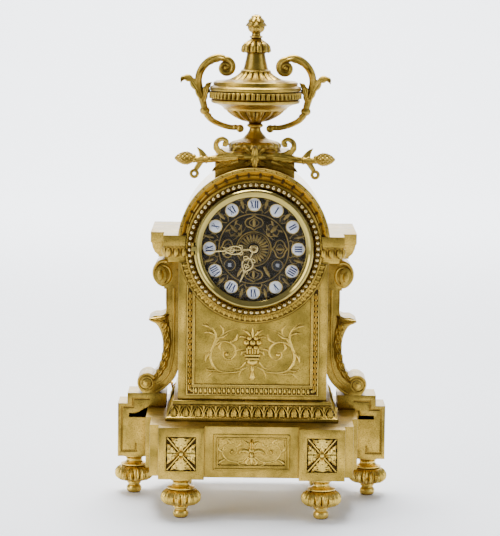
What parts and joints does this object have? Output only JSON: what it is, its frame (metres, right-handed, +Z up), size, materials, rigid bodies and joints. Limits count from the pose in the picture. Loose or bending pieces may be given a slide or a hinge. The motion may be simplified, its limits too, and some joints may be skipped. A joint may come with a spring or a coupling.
{
  "type": "mantel clock",
  "caption": "Gilt bronze mantel clock: arched case on a stepped footed base, enamel cartouche dial behind a hinged bezel, scrolled side consoles and an urn on top.",
  "frame": {"origin": "middle of the base's footprint, on the plane the feet stand on", "axes": "+Z up to the finial, +Y from the dial towards the back, +X to the right seen from the front"},
  "size_m": [0.2356, 0.1667, 0.4143],
  "materials": {
    "gilt_bronze": "satin gilt with darker recesses",
    "bezel_brass": "polished",
    "plain_brass": "brushed",
    "steel": "brushed",
    "hand_gilt": "satin gilt",
    "dial_bronze": "dark patina with gilt relief",
    "enamel": "glossy white enamel",
    "glass": "clear",
    "bell_metal": "turned"
  },
  "bodies": {
    "case": {"base_shell": "gilt_bronze", "base_bottom_plate": "plain_brass", "base_centre_plaque": "gilt_bronze", "base_rosettes": "gilt_bronze", "foot_front_left": "gilt_bronze", "foot_front_right": "gilt_bronze", "foot_side_left": "gilt_bronze", "foot_side_right": "gilt_bronze", "foot_rear_left": "gilt_bronze", "foot_rear_right": "gilt_bronze", "foot_nuts": "steel", "wing_left": "gilt_bronze", "wing_right": "gilt_bronze", "plinth_moulding": "gilt_bronze", "case_body": "gilt_bronze", "barrel_roof": "gilt_bronze", "front_frame": "gilt_bronze", "front_panel": "gilt_bronze", "rear_panel": "plain_brass", "rear_hinge": "plain_brass", "shoulder_left": "gilt_bronze", "shoulder_right": "gilt_bronze", "bracket_left": "gilt_bronze", "bracket_right": "gilt_bronze", "arch_moulding": "gilt_bronze", "bead_surround": "bezel_brass", "dial_plate": "dial_bronze", "hour_cartouches": "enamel", "movement_front_plate": "plain_brass", "movement_back_plate": "plain_brass", "movement_pillars": "plain_brass", "movement_straps": "steel", "bell": "bell_metal", "urn_plinth": "gilt_bronze", "crest_mount": "gilt_bronze", "urn_foot": "gilt_bronze", "urn_body": "gilt_bronze", "urn_lid": "gilt_bronze", "finial": "gilt_bronze", "urn_handle_left": "gilt_bronze", "urn_handle_right": "gilt_bronze"},
    "bezel": {"bezel_frame": "bezel_brass", "bezel_glass": "glass"},
    "rear_door": {"rear_door": "plain_brass"},
    "minute_arbor": {"centre_wheel": "plain_brass", "minute_hand": "hand_gilt", "hand_nut": "hand_gilt"},
    "hour_pipe": {"hour_wheel": "plain_brass", "hour_hand": "hand_gilt"},
    "minute_wheel": {"minute_wheel": "plain_brass"},
    "going_barrel": {"going_barrel": "plain_brass"},
    "strike_barrel": {"strike_barrel": "plain_brass"},
    "third_wheel": {"third_wheel": "plain_brass"},
    "escape_wheel": {"escape_wheel": "plain_brass"},
    "pendulum": {"anchor": "steel", "pendulum_rod": "steel", "pendulum_bob": "plain_brass"},
    "hammer": {"hammer": "steel"}
  },
  "joints": [
    {"name": "bezel_hinge", "type": "hinge", "parent": "case", "child": "bezel", "pos_m": [-0.0506, -0.049, 0.2216], "axis": [0, 0, -1], "range_deg": [0, 110]},
    {"name": "rear_door_hinge", "type": "hinge", "parent": "case", "child": "rear_door", "pos_m": [-0.0526, 0.0757, 0.2216], "axis": [0, 0, 1], "range_deg": [0, 120]},
    {"name": "minute_hand_turn", "type": "hinge", "parent": "case", "child": "minute_arbor", "pos_m": [0, 0, 0.2216], "axis": [0, 1, 0], "continuous": true},
    {"name": "hour_hand_turn", "type": "hinge", "parent": "case", "child": "hour_pipe", "pos_m": [0, 0, 0.2216], "axis": [0, 1, 0], "continuous": true},
    {"name": "minute_wheel_turn", "type": "hinge", "parent": "case", "child": "minute_wheel", "pos_m": [0, 0, 0.2096], "axis": [0, 1, 0], "continuous": true},
    {"name": "going_barrel_turn", "type": "hinge", "parent": "case", "child": "going_barrel", "pos_m": [0.0198, 0, 0.2079], "axis": [0, 1, 0], "continuous": true},
    {"name": "strike_barrel_turn", "type": "hinge", "parent": "case", "child": "strike_barrel", "pos_m": [-0.0198, 0, 0.2079], "axis": [0, 1, 0], "continuous": true},
    {"name": "third_wheel_turn", "type": "hinge", "parent": "case", "child": "third_wheel", "pos_m": [0.0105, 0, 0.23979], "axis": [0, 1, 0], "continuous": true},
    {"name": "escape_wheel_turn", "type": "hinge", "parent": "case", "child": "escape_wheel", "pos_m": [0, 0, 0.25186], "axis": [0, 1, 0], "continuous": true},
    {"name": "pendulum_swing", "type": "hinge", "parent": "case", "child": "pendulum", "pos_m": [0, 0, 0.2626], "axis": [0, 1, 0], "range_deg": [-4, 4]},
    {"name": "hammer_swing", "type": "hinge", "parent": "case", "child": "hammer", "pos_m": [-0.024, 0, 0.236], "axis": [0, 1, 0], "range_deg": [0, 12]}
  ],
  "couplings": [
    {"joint": "hour_hand_turn", "follows": "minute_hand_turn", "ratio": 0.083333},
    {"joint": "minute_wheel_turn", "follows": "minute_hand_turn", "ratio": -0.33333},
    {"joint": "going_barrel_turn", "follows": "minute_hand_turn", "ratio": -0.16667},
    {"joint": "third_wheel_turn", "follows": "minute_hand_turn", "ratio": -6},
    {"joint": "escape_wheel_turn", "follows": "minute_hand_turn", "ratio": 42}
  ]
}
